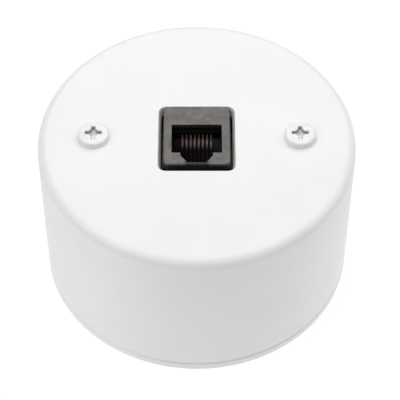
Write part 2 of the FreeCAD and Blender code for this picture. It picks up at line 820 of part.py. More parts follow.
def terminal_place(index):
    """Middle of a terminal: half of them along X in the far row, then the rest in the near row."""
    column = index % terminal_columns
    row = 1 if index < terminal_columns else -1
    x = (column - (terminal_columns - 1) / 2) * terminal_pitch
    return x, jack_middle_y + row * terminal_row_offset


def stack_block(low, high):
    """Plain block with the outline that the board, the terminal block and the wire cap share."""
    return block(-stack_half_width, stack_half_width, jack_middle_y - stack_half_length,
                 jack_middle_y + stack_half_length, low, high)


def jack_board():
    holes = []
    low = board_rear - POINT_MARGIN
    high = insert_rear + POINT_MARGIN
    for index in range(contact_count):
        holes.append(cylinder(contact_hole_radius, low, high, contact_x(index), contact_leg_y(index)))
        holes.append(cylinder(terminal_hole_radius, low, high, *terminal_place(index)))
    return stack_block(board_rear, insert_rear).cut(holes)


def terminal_block():
    solid = stack_block(block_rear, board_rear)
    lug_low = board_rear - snap_drop - snap_height
    lugs = block(-stack_half_width - snap_reach, stack_half_width + snap_reach,
                 jack_middle_y - snap_half_length, jack_middle_y + snap_half_length,
                 lug_low, lug_low + snap_height)
    solid = fused(solid, [lugs])
    first_leg = cavity_far + contact_leg_offset
    margin = contact_hole_radius + leg_hole_gap
    relief_half = contact_x(contact_count - 1) + pin_relief_margin
    tools = [block(-relief_half, relief_half, first_leg - margin, first_leg + contact_row_step + margin,
                   board_rear - pin_relief_depth, board_rear + POINT_MARGIN)]
    thick = terminal_thickness / 2 + terminal_gap
    wide = terminal_half_width + terminal_gap
    narrow = terminal_pin_half_width + terminal_gap
    for index in range(contact_count):
        x, y = terminal_place(index)
        tools.append(block(x - wide, x + wide, y - thick, y + thick, block_rear - POINT_MARGIN,
                           block_rear + terminal_shoulder + terminal_gap))
        tools.append(block(x - narrow, x + narrow, y - thick, y + thick, block_rear,
                           board_rear + POINT_MARGIN))
    return solid.cut(tools)


def idc_terminal(index):
    """Forked blade that cuts through a wire's insulation, with its pin in the board."""
    x, y = terminal_place(index)
    tip = block_rear - terminal_reach
    shoulder = block_rear + terminal_shoulder
    pin_end = insert_rear - terminal_gap
    right = [(terminal_slot_half_width, tip + terminal_slot_depth),
             (terminal_slot_half_width, tip + terminal_lead_in),
             (terminal_slot_half_width + terminal_lead_in / 2, tip),
             (terminal_half_width - terminal_lead_in / 2, tip),
             (terminal_half_width, tip + terminal_lead_in),
             (terminal_half_width, shoulder),
             (terminal_pin_half_width, shoulder),
             (terminal_pin_half_width, pin_end)]
    outline = right + [(-a, z) for a, z in right[::-1]]
    half = terminal_thickness / 2
    return prism_y([(x + a, z) for a, z in outline], y - half, y + half)


def wire_cap():
    """Cap that holds the wires over the terminals: a cable hole, a well and a slot for each wire."""
    slot_low = block_rear - cap_slot_depth
    solid = stack_block(cap_rear, block_rear)
    open_top = block_rear + POINT_MARGIN
    tools = [cylinder(cap_cable_radius, cap_rear - POINT_MARGIN, open_top, 0, jack_middle_y),
             block(-cap_well_half_width, cap_well_half_width, jack_middle_y - cap_well_half_length,
                   jack_middle_y + cap_well_half_length, cap_rear + cap_well_floor, open_top)]
    thick = terminal_thickness / 2 + terminal_tip_gap
    wide = terminal_half_width + terminal_tip_gap
    for index in range(contact_count):
        x, y = terminal_place(index)
        outer = jack_middle_y + math.copysign(stack_half_length + POINT_MARGIN, y - jack_middle_y)
        near, far = sorted((jack_middle_y, outer))
        tools.append(block(x - cap_slot_width / 2, x + cap_slot_width / 2, near, far, slot_low, open_top))
        tools.append(block(x - wide, x + wide, y - thick, y + thick,
                           block_rear - terminal_reach - terminal_tip_gap, open_top))
    return solid.cut(tools)


# ---- Doors ---------------------------------------------------------------------------------------------

def near_door():
    """Die-cast rear door: an L-shaped shell with side cheeks, half a cable hole and a hinge barrel."""
    wall_y = jack_middle_y - stack_half_length - door_stack_gap - door_wall / 2
    floor_z = door_floor_inner - door_wall / 2
    moves = [("run", hinge_z - floor_z - door_bend), ("bend", door_bend, 90),
             ("run", jack_middle_y - door_middle_gap - wall_y - door_bend)]
    shell = bent_strip((wall_y, hinge_z), -90, moves, door_wall,
                       lambda y, z: FreeCAD.Vector(-jack_half_width, y, z),
                       FreeCAD.Vector(jack_width, 0, 0))
    cheek_top = skirt_low - door_skirt_gap
    inner_edge = jack_middle_y - door_middle_gap
    cheek = [(wall_y, floor_z + door_bend), (wall_y + door_bend, floor_z), (inner_edge, floor_z),
             (inner_edge, floor_z + door_cheek_front), (inner_edge - door_cheek_run, cheek_top),
             (wall_y, cheek_top)]
    barrel_half = jack_half_width - ear_width - ear_side_gap
    parts = [prism_x(cheek, -jack_half_width, -jack_half_width + door_cheek_wall),
             prism_x(cheek, jack_half_width - door_cheek_wall, jack_half_width),
             rod(barrel_radius, -barrel_half, barrel_half, hinge_near_y, hinge_z)]
    neck_low = hinge_z - door_neck
    tools = [rod(hinge_pin_radius + hinge_running_gap, -jack_half_width, jack_half_width,
                 hinge_near_y, hinge_z),
             cylinder(door_cable_radius, floor_z - door_wall, floor_z + door_wall, 0, jack_middle_y)]
    for side in (-1, 1):
        ends = sorted((side * barrel_half, side * (jack_half_width + POINT_MARGIN)))
        tools.append(block(ends[0], ends[1], hinge_near_y - barrel_radius - POINT_MARGIN, jack_middle_y,
                           neck_low, hinge_z + POINT_MARGIN))
    return fused(shell, parts).cut(tools)


def near_hinge_pin():
    return rod(hinge_pin_radius, -jack_half_width, jack_half_width, hinge_near_y, hinge_z)


# ---- The whole box -------------------------------------------------------------------------------------

def all_pieces():
    """Every piece by name."""
    door = near_door()
    pin = near_hinge_pin()
    spring = ground_spring()
    pieces = {
        "cover": cover(),
        "base": base(),
        "jack_carrier": jack_carrier(),
        "jack_body": jack_body(),
        "jack_latch": jack_latch(),
        "contact_carrier": contact_carrier(),
        "jack_board": jack_board(),
        "terminal_block": terminal_block(),
        "wire_cap": wire_cap(),
        "door_near": door,
        "door_far": mirrored_across_jack(door),
        "hinge_pin_near": pin,
        "hinge_pin_far": mirrored_across_jack(pin),
        "ground_spring_right": spring,
        "ground_spring_left": mirrored(spring),
    }
    for name, side in (("left", -1), ("right", 1)):
        pieces["cover_screw_" + name] = cover_screw(side)
        pieces["threaded_insert_" + name] = threaded_insert(side)
        pieces["carrier_screw_" + name] = carrier_screw(side)
    for index in range(contact_count):
        pieces["plug_contact_%d" % (index + 1)] = plug_contact(index)
        pieces["idc_terminal_%d" % (index + 1)] = idc_terminal(index)
    return pieces


os.makedirs("parts", exist_ok=True)
for name, shape in all_pieces().items():
    shape.exportStep("parts/" + name + ".step")
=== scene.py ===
import json
import math
from typing import NamedTuple

import bmesh
import bpy
from mathutils import Matrix, Vector

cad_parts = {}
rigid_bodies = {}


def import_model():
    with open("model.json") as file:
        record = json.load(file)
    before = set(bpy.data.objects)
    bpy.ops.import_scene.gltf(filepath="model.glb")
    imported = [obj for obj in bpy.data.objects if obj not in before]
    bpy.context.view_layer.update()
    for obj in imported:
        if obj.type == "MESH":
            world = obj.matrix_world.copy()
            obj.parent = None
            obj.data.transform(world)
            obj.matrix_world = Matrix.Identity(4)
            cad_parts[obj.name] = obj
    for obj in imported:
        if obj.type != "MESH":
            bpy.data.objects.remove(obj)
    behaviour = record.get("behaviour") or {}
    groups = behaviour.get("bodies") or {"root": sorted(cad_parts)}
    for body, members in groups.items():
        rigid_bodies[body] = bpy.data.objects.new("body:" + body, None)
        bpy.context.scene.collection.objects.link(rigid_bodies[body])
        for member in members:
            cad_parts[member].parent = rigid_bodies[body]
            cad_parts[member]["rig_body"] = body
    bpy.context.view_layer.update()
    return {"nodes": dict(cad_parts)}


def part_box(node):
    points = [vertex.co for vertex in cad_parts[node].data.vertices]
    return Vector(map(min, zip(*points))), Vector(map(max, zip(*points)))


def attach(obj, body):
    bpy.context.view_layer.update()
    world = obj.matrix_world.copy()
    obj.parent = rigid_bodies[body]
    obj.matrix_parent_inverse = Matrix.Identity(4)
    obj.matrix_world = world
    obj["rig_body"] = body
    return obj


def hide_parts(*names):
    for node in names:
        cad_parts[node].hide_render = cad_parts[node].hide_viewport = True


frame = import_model()

# Looks of the surface mount jack box. Everything is in metres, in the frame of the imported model.
# Round pieces are turned here with fine steps, and the other pieces are softened copies of the CAD nodes.

MM = 0.001
TURN_STEPS = 192            # steps round a large turned piece
SMALL_TURN_STEPS = 64       # steps round a screw or a pin
ROUND_STEPS = 8             # steps in a quarter round
SMOOTH_ANGLE = math.radians(35)
FLAT_ANGLE = math.radians(0.4)      # faces that differ by less are one flat
SAME_PLACE = 0.001 * MM     # points nearer than this are one point
CUT_MARGIN = 1.0 * MM       # how far a cutting tool runs past the face that it opens
CONTACTS = 8                # and as many terminals

# Sizes of the housing that the nodes' boxes don't give
COVER_WALL = 2.5 * MM
COVER_TOP = 2.5 * MM
COVER_EDGE_ROUND = 2.5 * MM
COVER_ROOT_ROUND = 1.2 * MM
SEAM_BEVEL = 0.4 * MM
FOOT_BEVEL = 0.3 * MM
WINDOW_WALL = 2.5 * MM      # the carrier's wall round the window
WINDOW_ROUND = 2.0 * MM
WINDOW_HALF_WIDTH = 8.8 * MM
WINDOW_SIDE_TAPER = 0.7 * MM
PILLAR_RADIUS = 4.6 * MM
PILLAR_DRAFT = 1.5 * MM
PILLAR_START = 0.2 * MM     # within the base's plate
CARRIER_BOSS_RADIUS = 2.6 * MM
CARRIER_EAR_THICKNESS = 2.5 * MM
CARRIER_PILOT_RADIUS = 1.13 * MM
CARRIER_PILOT_EXTRA = 0.7 * MM
SCREW_HOLE_RADIUS = 2.25 * MM
SCREW_CORE_GAP = 0.3 * MM   # round the cover screw, below the insert
SCREW_CORE_EXTRA = 1.5 * MM
INSERT_SEAT_GAP = 0.02 * MM
RIB_THICKNESS = 1.4 * MM
RIB_DEPTH = 4.0 * MM
BREAKOUT_WIDTH = 16.0 * MM
BREAKOUT_HEIGHT = 12.0 * MM
BREAKOUT_GROOVE = 1.0 * MM
BREAKOUT_SKIN = 0.8 * MM
BREAKOUT_SIDE_GAP = 1.0 * MM
UPSTAND_HEIGHT = 5.0 * MM
UPSTAND_WALL = 1.8 * MM
UPSTAND_GAP = 0.15 * MM
ENTRY_RADIUS = 15.0 * MM
ENTRY_BEVEL = 0.6 * MM
FIXING_SPACING = 54.0 * MM
FIXING_RADIUS = 2.25 * MM
FIXING_LENGTH = 8.0 * MM
FIXING_SEAT_WALL = 2.2 * MM
FIXING_SEAT_HEIGHT = 1.6 * MM
GUSSET_HEIGHT = 18.0 * MM
GUSSET_REACH = 9.5 * MM
ANCHOR_RADIUS = 24.0 * MM
ANCHOR_BEARING = math.radians(-45)
ANCHOR_LENGTH = 9.0 * MM
ANCHOR_WIDTH = 3.6 * MM
ANCHOR_ROUND = 0.9 * MM
ANCHOR_HEIGHT = 4.6 * MM
ANCHOR_TUNNEL_WIDTH = 5.2 * MM
ANCHOR_TUNNEL_HEIGHT = 2.4 * MM

# How far the edges are softened
HOUSING_SOFTENING = 0.18 * MM
SMALL_SOFTENING = 0.12 * MM
CONTACT_SOFTENING = 0.08 * MM
TERMINAL_SOFTENING = 0.05 * MM
SOFTENING_STEPS = 2
CONTACT_SOFTENING_STEPS = 3


class Screw(NamedTuple):
    """Sizes of a pan head screw that its node's box doesn't give."""
    head_height: float
    shank_radius: float
    pitch: float
    thread_depth: float
    recess_width: float
    recess_slot: float
    recess_core: float
    recess_depth: float


# Screws, inserts and pins
COVER_SCREW = Screw(head_height=1.8 * MM, shank_radius=2.0 * MM, pitch=0.7 * MM,
                    thread_depth=0.42 * MM, recess_width=4.4 * MM, recess_slot=1.15 * MM,
                    recess_core=1.3 * MM, recess_depth=1.9 * MM)
CARRIER_SCREW = Screw(head_height=1.6 * MM, shank_radius=1.1 * MM, pitch=0.8 * MM,
                      thread_depth=0.28 * MM, recess_width=2.2 * MM, recess_slot=0.6 * MM,
                      recess_core=0.6 * MM, recess_depth=0.9 * MM)
HEAD_ROUND = 0.5 * MM
HEAD_ROUND_END = 80         # degrees, where the crown begins
HEAD_CROWN = 0.12 * MM
CROWN_SHARES = (0.7, 0.45, 0.2)     # of the head's radius
POINT_BEVEL = 0.5 * MM
RECESS_FLOOR_SHARE = 0.45   # of the recess's size at its top
ROWS_PER_THREAD = 6
THREAD_STEEPNESS = 1.15     # over 1 leaves a flat on the crest
INSERT_BORE_RADIUS = 2.05 * MM
INSERT_GROOVE_WIDTH = 1.6 * MM
INSERT_GROOVE_DEPTH = 0.35 * MM
INSERT_END_TAPER = 0.3 * MM
KNURL_TEETH = 36
STEPS_PER_TOOTH = 4
KNURL_DEPTH = 0.16 * MM
PIN_BEVEL = 0.15 * MM


class Finish(NamedTuple):
    """How a material looks. A noise is given by its size and its detail."""
    colours: tuple
    mottling: tuple         # noise that runs between the two colours, if any
    roughness: tuple
    sheen: tuple            # noise that runs between the two ends of the roughness
    relief: tuple = ()      # rows of a noise's size and detail, and the relief's depth and strength
    metallic: float = 0.0
    specular: float = 0.5
    drawn: bool = False     # whether sheen and relief run along Z


DRAWN_GRAIN = (0.12 * MM, 3.0)
DRAWN_STRETCH = (1.0, 1.0, 0.12)


def drawn_metal(colours, roughness, metallic=1.0):
    """Rolled or drawn metal with fine lines along its length."""
    return Finish(colours=colours, mottling=(1.1 * MM, 3.0), roughness=roughness, sheen=DRAWN_GRAIN,
                  relief=((*DRAWN_GRAIN, 0.003 * MM, 0.5),), metallic=metallic, drawn=True)


FINISHES = {
    # Spark-eroded grain and very slight mottling
    "white_moulding": Finish(
        colours=((0.875, 0.875, 0.87), (0.895, 0.895, 0.892)), mottling=(16 * MM, 2.0),
        roughness=(0.38, 0.47), sheen=(3.5 * MM, 2.0),
        relief=((9 * MM, 2.0, 0.02 * MM, 0.5), (0.32 * MM, 4.0, 0.006 * MM, 0.6))),
    # Slight orange peel
    "white_powder_coat": Finish(
        colours=((0.85, 0.85, 0.84), (0.885, 0.885, 0.88)), mottling=(2 * MM, 2.0),
        roughness=(0.28, 0.4), sheen=(1.2 * MM, 2.0), relief=((0.55 * MM, 2.0, 0.012 * MM, 0.6),)),
    # Soft cloudy patches
    "cast_zinc": Finish(
        colours=((0.120, 0.114, 0.107), (0.160, 0.152, 0.144)), mottling=(2.6 * MM, 4.0),
        roughness=(0.38, 0.56), sheen=(0.7 * MM, 3.0), relief=((0.8 * MM, 2.0, 0.01 * MM, 0.6),),
        metallic=0.85),
    # Glass-filled plastic with a dull, slightly streaky skin
    "black_moulding": Finish(
        colours=((0.0065, 0.0065, 0.0070), (0.0100, 0.0100, 0.0106)), mottling=(1.8 * MM, 3.0),
        roughness=(0.52, 0.68), sheen=(0.6 * MM, 2.0), relief=((0.18 * MM, 3.0, 0.004 * MM, 0.6),),
        specular=0.04),
    # Darker copy of the black moulding for the insert in the jack's mouth, as painted shade
    "insert_black_painted_shade": Finish(
        colours=((0.0008, 0.0008, 0.0009), (0.0016, 0.0016, 0.0018)), mottling=(1.8 * MM, 3.0),
        roughness=(0.52, 0.68), sheen=(0.6 * MM, 2.0), relief=((0.18 * MM, 3.0, 0.004 * MM, 0.6),),
        specular=0.03),
    # Dark grey plastic of the wire cap
    "smoke_moulding": Finish(
        colours=((0.055, 0.056, 0.06), (0.08, 0.081, 0.085)), mottling=(2.2 * MM, 3.0),
        roughness=(0.32, 0.46), sheen=(0.8 * MM, 2.0), relief=((0.2 * MM, 3.0, 0.004 * MM, 0.5),)),
    "zinc_plated_steel": drawn_metal(((0.46, 0.46, 0.47), (0.58, 0.58, 0.58)), (0.22, 0.38)),
    "turned_brass": drawn_metal(((0.55, 0.38, 0.14), (0.72, 0.52, 0.22)), (0.2, 0.36)),
    "spring_bronze": drawn_metal(((0.50, 0.36, 0.24), (0.62, 0.47, 0.33)), (0.2, 0.34)),
    "tinned_bronze": drawn_metal(((0.60, 0.57, 0.52), (0.72, 0.70, 0.66)), (0.22, 0.36)),
    "gold_plate": drawn_metal(((0.90, 0.60, 0.50), (0.98, 0.71, 0.61)), (0.38, 0.52), metallic=0.35),
    # Solder mask, coloured by the copper tracks below it
    "circuit_board": Finish(
        colours=((0.012, 0.11, 0.045), (0.02, 0.17, 0.07)), mottling=(),
        roughness=(0.28, 0.42), sheen=(1.5 * MM, 2.0)),
    "pale_floor": Finish(
        colours=((0.30, 0.30, 0.30), (0.31, 0.31, 0.31)), mottling=(60 * MM, 2.0),
        roughness=(0.75, 0.85), sheen=(20 * MM, 2.0), specular=0.2),
}
NOISE_SPAN = (0.3, 0.7)     # where most of a noise's values lie
RAMP_SPAN = (0.35, 0.65)    # where one colour runs into the other
PIT_SIZE = 0.22 * MM
PIT_DEPTH = 0.004 * MM
PIT_STRENGTH = 0.7
TRACK_SIZE = 2.1 * MM
TRACK_SPAN = (0.44, 0.5)
TRACK_DEPTH = 0.01 * MM
TRACK_STRENGTH = 0.4

# Where a cover screw's colour changes, below its top and out from its middle: painted shade on the upper
# walls of the recess, and uncoated steel on the shank
COATED_DEPTH = 0.15 * MM
SHADE_AND_BARE_DEPTH = 0.4 * MM
LOWER_RECESS_EDGE_DEPTH = 0.85 * MM
LOWER_RECESS_DEPTH = 1.15 * MM
SHANK_EDGE_DEPTH = 1.9 * MM
SHANK_DEPTH = 2.1 * MM
SHADE_AND_BARE_REACH = 2.3 * MM
SHADE_AND_BARE_BLEND = 0.1 * MM
# grey of the uncoated shank, also painted on the upper walls of the recess as painted shade
BARE_STEEL_AND_RECESS_SHADE = (0.34, 0.34, 0.335)

# Where the jack's colours change, below its face: painted shade on the zinc just behind the face and on the
# lip below the latch channel, the insert painted dark as shade near the face and paler deeper down as painted
# light, and painted shade on the deep ends of the contacts
CAST_FACE_DEPTH = 0.2 * MM
CAST_SHADE_DEPTH = 0.9 * MM
CAST_SHADE_FADE = 4.0 * MM
CAST_SHADE_END = 8.0 * MM
CAST_SHADE_SHARE = 0.2
CAST_PAINTED_SHADE = (0.11, 0.105, 0.10)
CAST_LIP_SHADE = (0.05, 0.048, 0.046)
LIP_HALF_WIDTH = 2.6 * MM   # the lip below the latch channel, out from X = 0
LIP_FADE = 3.4 * MM
LIP_NEAR = -7.9 * MM        # its place along Y
LIP_FAR = -7.5 * MM
INSERT_SHADE_DEPTH = 3.1 * MM
INSERT_LIGHT_DEPTH = 4.0 * MM
INSERT_PAINTED_LIGHT = (0.062, 0.064, 0.073)
CONTACT_GOLD_DEPTH = 4.6 * MM
CONTACT_SHADE_DEPTH = 6.6 * MM
CONTACT_PAINTED_SHADE = (0.035, 0.030, 0.030)

# Stage
FLOOR_HALF = 1.5
FLOOR_CORNER = 0.375
FLOOR_THICKNESS = 0.01
FLOOR_GLOW = 0.77
FLOOR_FAR_GLOW = 0.3
GLOW_RADIUS = 0.14
GLOW_END = 0.5
FLOOR_SHADE_START = 2.0 * MM    # the floor doesn't glow under the base, inside its edge by these
FLOOR_SHADE_END = 0.7 * MM
WORLD_STRENGTH = 0.15
WHITE = (1, 1, 1, 1)
VIEW_TARGET = Vector((0, 0, 22 * MM))
VIEW_DISTANCE = 431.8 * MM
VIEW_ELEVATION = 51.18
VIEW_SHIFT_X = 0.0082
VIEW_SHIFT_Y = -0.0172
VIEW_CLIP = VIEW_DISTANCE / 100     # the camera sees nothing nearer
LENS_LENGTH = 151.7
SENSOR_WIDTH = 36.0
# name, (azimuth, elevation), distance, size, watts
LIGHTS = (("left_light", (-60, 40), 0.7, 0.6, 1.27),
          ("left_top_light", (-60, 65), 0.7, 0.6, 1.27),
          ("right_back_light", (110, 45), 0.7, 0.6, 1.22),
          ("right_low_light", (90, 20), 0.7, 0.6, 0.81),
          ("top_light", (0, 85), 0.8, 0.6, 0.60),
          ("back_light", (180, 60), 0.3, 0.2, 0.27))


# ---- Mesh helpers --------------------------------------------------------------------------------------

def piece_from(name, mesh_maker):
    """New object from a filled bmesh, which is freed."""
    mesh = bpy.data.meshes.new(name)
    bmesh.ops.recalc_face_normals(mesh_maker, faces=mesh_maker.faces)
    mesh_maker.to_mesh(mesh)
    mesh_maker.free()
    piece = bpy.data.objects.new(name, mesh)
    bpy.context.scene.collection.objects.link(piece)
    return piece


def quarter_round(centre_radius, centre_level, radius, start, end, steps=ROUND_STEPS):
    """Points of an arc in a profile, from one angle to another in degrees."""
    angles = [math.radians(start + (end - start) * i / steps) for i in range(steps + 1)]
    return [(centre_radius + radius * math.cos(a), centre_level + radius * math.sin(a)) for a in angles]


def turned(name, profile, steps, x=0.0):
    """Solid turned about an upright axis at X from a closed ring of (radius, level) points.

    A radius may be a function of the angle, for a thread or a knurl.
    """
    maker = bmesh.new()
    rings = []
    for radius, level in profile:
        if radius == 0:
            rings.append([maker.verts.new((x, 0, level))] * steps)
            continue
        ring = []
        for i in range(steps):
            angle = 2 * math.pi * i / steps
            reach = radius(angle) if callable(radius) else radius
            ring.append(maker.verts.new((x + reach * math.cos(angle), reach * math.sin(angle), level)))
        rings.append(ring)
    for first, second in zip(rings, rings[1:] + rings[:1]):
        if first[0] is first[1] and second[0] is second[1]:
            continue
        for i in range(steps):
            j = (i + 1) % steps
            maker.faces.new(dict.fromkeys((first[i], first[j], second[j], second[i])))
    return piece_from(name, maker)


def rod(name, radius, low, high, x):
    """Plain upright cylinder at X."""
    return turned(name, [(0, low), (radius, low), (radius, high), (0, high)], SMALL_TURN_STEPS, x)


def prism(name, outline, low, high, turn=None, top_outline=None):
    """Closed XY outline raised along Z to its own or another shape, and then turned if a matrix is given."""
    maker = bmesh.new()
    floor = [maker.verts.new((a, b, low)) for a, b in outline]
    roof = [maker.verts.new((a, b, high)) for a, b in top_outline or outline]
    maker.faces.new(floor)
    maker.faces.new(roof)
    for i in range(len(outline)):
        j = (i + 1) % len(outline)
        maker.faces.new((floor[i], floor[j], roof[j], roof[i]))
    if turn is not None:
        maker.transform(turn)
    return piece_from(name, maker)


def box_outline(left, right, near, far):
    """Outline of a box with square corners."""
    return [(left, near), (right, near), (right, far), (left, far)]


def round_box_outline(left, right, near, far, radius):
    """Outline of a box with rounded corners."""
    corners = ((right - radius, far - radius, 0), (left + radius, far - radius, 90),
               (left + radius, near + radius, 180), (right - radius, near + radius, 270))
    outline = []
    for a, b, start in corners:
        outline += quarter_round(a, b, radius, start, start + 90)
    return outline


def slot_outline(half_width, length, middle_y):
    """Outline of a slot with round ends that runs along Y."""
    run = length / 2 - half_width
    far = quarter_round(0, middle_y + run, half_width, 0, 180, 2 * ROUND_STEPS)
    near = quarter_round(0, middle_y - run, half_width, 180, 360, 2 * ROUND_STEPS)
    return far + near


def tapered_slot(name, length, breadth, depth, top):
    """Wedge-shaped tool that narrows towards its floor, for one wing of a cross recess."""
    maker = bmesh.new()
    rings = []
    for share, level in ((RECESS_FLOOR_SHARE, top - depth), (1.0, top), (1.0, top + CUT_MARGIN)):
        a, b = share * length / 2, share * breadth / 2
        rings.append([maker.verts.new((x, y, level)) for x, y in box_outline(-a, a, -b, b)])
    maker.faces.new(rings[0])
    maker.faces.new(rings[-1])
    for first, second in zip(rings, rings[1:]):
        for i in range(len(first)):
            j = (i + 1) % len(first)
            maker.faces.new((first[i], first[j], second[j], second[i]))
    return piece_from(name, maker)


def baked(piece):
    """Puts the result of a piece's modifiers into its mesh."""
    graph = bpy.context.evaluated_depsgraph_get()
    mesh = bpy.data.meshes.new_from_object(piece.evaluated_get(graph))
    piece.modifiers.clear()
    old = piece.data
    piece.data = mesh
    bpy.data.meshes.remove(old)
    return piece


def combined(piece, tools, operation):
    """Joins or cuts a piece with tools, which are used up."""
    for tool in tools:
        step = piece.modifiers.new("combine", "BOOLEAN")
        step.operation = operation
        step.solver = "EXACT"
        step.object = tool
    baked(piece)
    for tool in tools:
        bpy.data.objects.remove(tool)
    return piece


def merged_flats(piece):
    """Takes out the edges inside flat faces, so that only real edges are softened."""
    maker = bmesh.new()
    maker.from_mesh(piece.data)
    bmesh.ops.remove_doubles(maker, verts=maker.verts, dist=SAME_PLACE)
    bmesh.ops.dissolve_limit(maker, angle_limit=FLAT_ANGLE, verts=maker.verts, edges=maker.edges)
    bmesh.ops.recalc_face_normals(maker, faces=maker.faces)
    maker.to_mesh(piece.data)
    maker.free()


def smooth_shaded(piece):
    """Shades a piece smooth between its sharp edges."""
    piece.data.shade_smooth()
    piece.data.set_sharp_from_angle(angle=SMOOTH_ANGLE)
    return piece


def softened(piece, width, segments=SOFTENING_STEPS):
    """Rounds a piece's sharp edges a little and shades it smooth between them, with its flats kept flat."""
    merged_flats(piece)
    if width:
        edge = piece.modifiers.new("soften", "BEVEL")
        edge.width = width
        edge.segments = segments
        edge.limit_method = "ANGLE"
        edge.angle_limit = SMOOTH_ANGLE
        edge.use_clamp_overlap = True
        baked(piece)
    smooth_shaded(piece)
    flats = piece.modifiers.new("flats", "WEIGHTED_NORMAL")
    flats.keep_sharp = True
    return baked(piece)


def softened_copy(node, width, segments=SOFTENING_STEPS):
    """A CAD node's mesh as a piece of its own, with its edges softened."""
    piece = bpy.data.objects.new(node + "_visual", frame["nodes"][node].data.copy())
    bpy.context.scene.collection.objects.link(piece)
    return softened(piece, width, segments)


def middle_of(node):
    """X, Y and Z of the middle of a CAD node's box."""
    low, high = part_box(node)
    return [(a + b) / 2 for a, b in zip(low, high)]


# ---- Materials -----------------------------------------------------------------------------------------

class Surface:
    """A node material made from its finish, and short calls for what is added to it."""

    def __init__(self, name):
        self.finish = finish = FINISHES[name]
        self.material = bpy.data.materials.new(name)
        self.material.use_nodes = True
        self.tree = self.material.node_tree
        self.shader = self.tree.nodes["Principled BSDF"]
        self.shader.inputs["Metallic"].default_value = finish.metallic
        self.shader.inputs["Specular IOR Level"].default_value = finish.specular
        self.place = self.tree.nodes.new("ShaderNodeTexCoord").outputs["Object"]
        grain = self.stretched(DRAWN_STRETCH) if finish.drawn else self.place
        if finish.mottling:
            self.colours(self.noise(*finish.mottling, self.place), *finish.colours, *RAMP_SPAN)
        shine = self.spread(self.noise(*finish.sheen, grain), *finish.roughness, *NOISE_SPAN)
        self.tree.links.new(shine, self.shader.inputs["Roughness"])
        for size, detail, depth, strength in finish.relief:
            self.bump(self.noise(size, detail, grain), depth, strength)

    def stretched(self, scale):
        """Coordinates scaled along each axis, for grain that runs one way."""
        node = self.tree.nodes.new("ShaderNodeMapping")
        node.inputs["Scale"].default_value = scale
        self.tree.links.new(self.place, node.inputs["Vector"])
        return node.outputs["Vector"]

    def noise(self, size, detail, place):
        """Soft noise with features of about one size, from 0 to 1."""
        node = self.tree.nodes.new("ShaderNodeTexNoise")
        node.inputs["Scale"].default_value = 1 / size
        node.inputs["Detail"].default_value = detail
        self.tree.links.new(place, node.inputs["Vector"])
        return node.outputs["Fac"]

    def cells(self, size, squared_tracks=False):
        """Distance from the middle of scattered cells of about one size, or tracks between square ones."""
        node = self.tree.nodes.new("ShaderNodeTexVoronoi")
        if squared_tracks:
            node.distance = "CHEBYCHEV"
            node.feature = "F2"
        node.inputs["Scale"].default_value = 1 / size
        self.tree.links.new(self.place, node.inputs["Vector"])
        return node.outputs["Distance"]

    def spread(self, value, low, high, start, end):
        """Runs from low to high while a value runs from start to end."""
        node = self.tree.nodes.new("ShaderNodeMapRange")
        node.inputs["From Min"].default_value = start
        node.inputs["From Max"].default_value = end
        node.inputs["To Min"].default_value = low
        node.inputs["To Max"].default_value = high
        self.tree.links.new(value, node.inputs["Value"])
        return node.outputs["Result"]

    def rising(self, value, start, end):
        """Share that is 0 before start and 1 after end."""
        return self.spread(value, 0.0, 1.0, start, end)

    def falling(self, value, start, end):
        """Share that is 1 before start and 0 after end."""
        return self.spread(value, 1.0, 0.0, start, end)

    def along(self, axis):
        """Place along one axis of the object's frame, in metres."""
        node = self.tree.nodes.new("ShaderNodeSeparateXYZ")
        self.tree.links.new(self.place, node.inputs["Vector"])
        return node.outputs[axis]

    def math(self, operation, first, second=None):
        """Result of a sum on one value, or on two, of which the second may be a plain number."""
        node = self.tree.nodes.new("ShaderNodeMath")
        node.operation = operation
        self.tree.links.new(first, node.inputs[0])
        if isinstance(second, float):
            node.inputs[1].default_value = second
        elif second is not None:
            self.tree.links.new(second, node.inputs[1])
        return node.outputs["Value"]

    def product(self, first, second):
        return self.math("MULTIPLY", first, second)

    def colours(self, value, first, second, start, end):
        """Base colour that runs from one colour to another while a value runs from start to end."""
        node = self.tree.nodes.new("ShaderNodeValToRGB")
        for element, position, colour in zip(node.color_ramp.elements, (start, end), (first, second)):
            element.position = position
            element.color = (*colour, 1)
        self.tree.links.new(value, node.inputs["Fac"])
        self.tree.links.new(node.outputs["Color"], self.shader.inputs["Base Color"])

    def changed(self, share, colour):
        """Runs the base colour into another one where a share from 0 to 1 is high."""
        node = self.tree.nodes.new("ShaderNodeMixRGB")
        base = self.shader.inputs["Base Color"]
        self.tree.links.new(share, node.inputs["Fac"])
        self.tree.links.new(base.links[0].from_socket, node.inputs["Color1"])
        node.inputs["Color2"].default_value = (*colour, 1)
        self.tree.links.new(node.outputs["Color"], base)

    def bump(self, value, depth, strength):
        """Fine relief. A second call lies on top of the first."""
        node = self.tree.nodes.new("ShaderNodeBump")
        node.inputs["Distance"].default_value = depth
        node.inputs["Strength"].default_value = strength
        self.tree.links.new(value, node.inputs["Height"])
        normal = self.shader.inputs["Normal"]
        if normal.is_linked:
            self.tree.links.new(normal.links[0].from_socket, node.inputs["Normal"])
        self.tree.links.new(node.outputs["Normal"], normal)


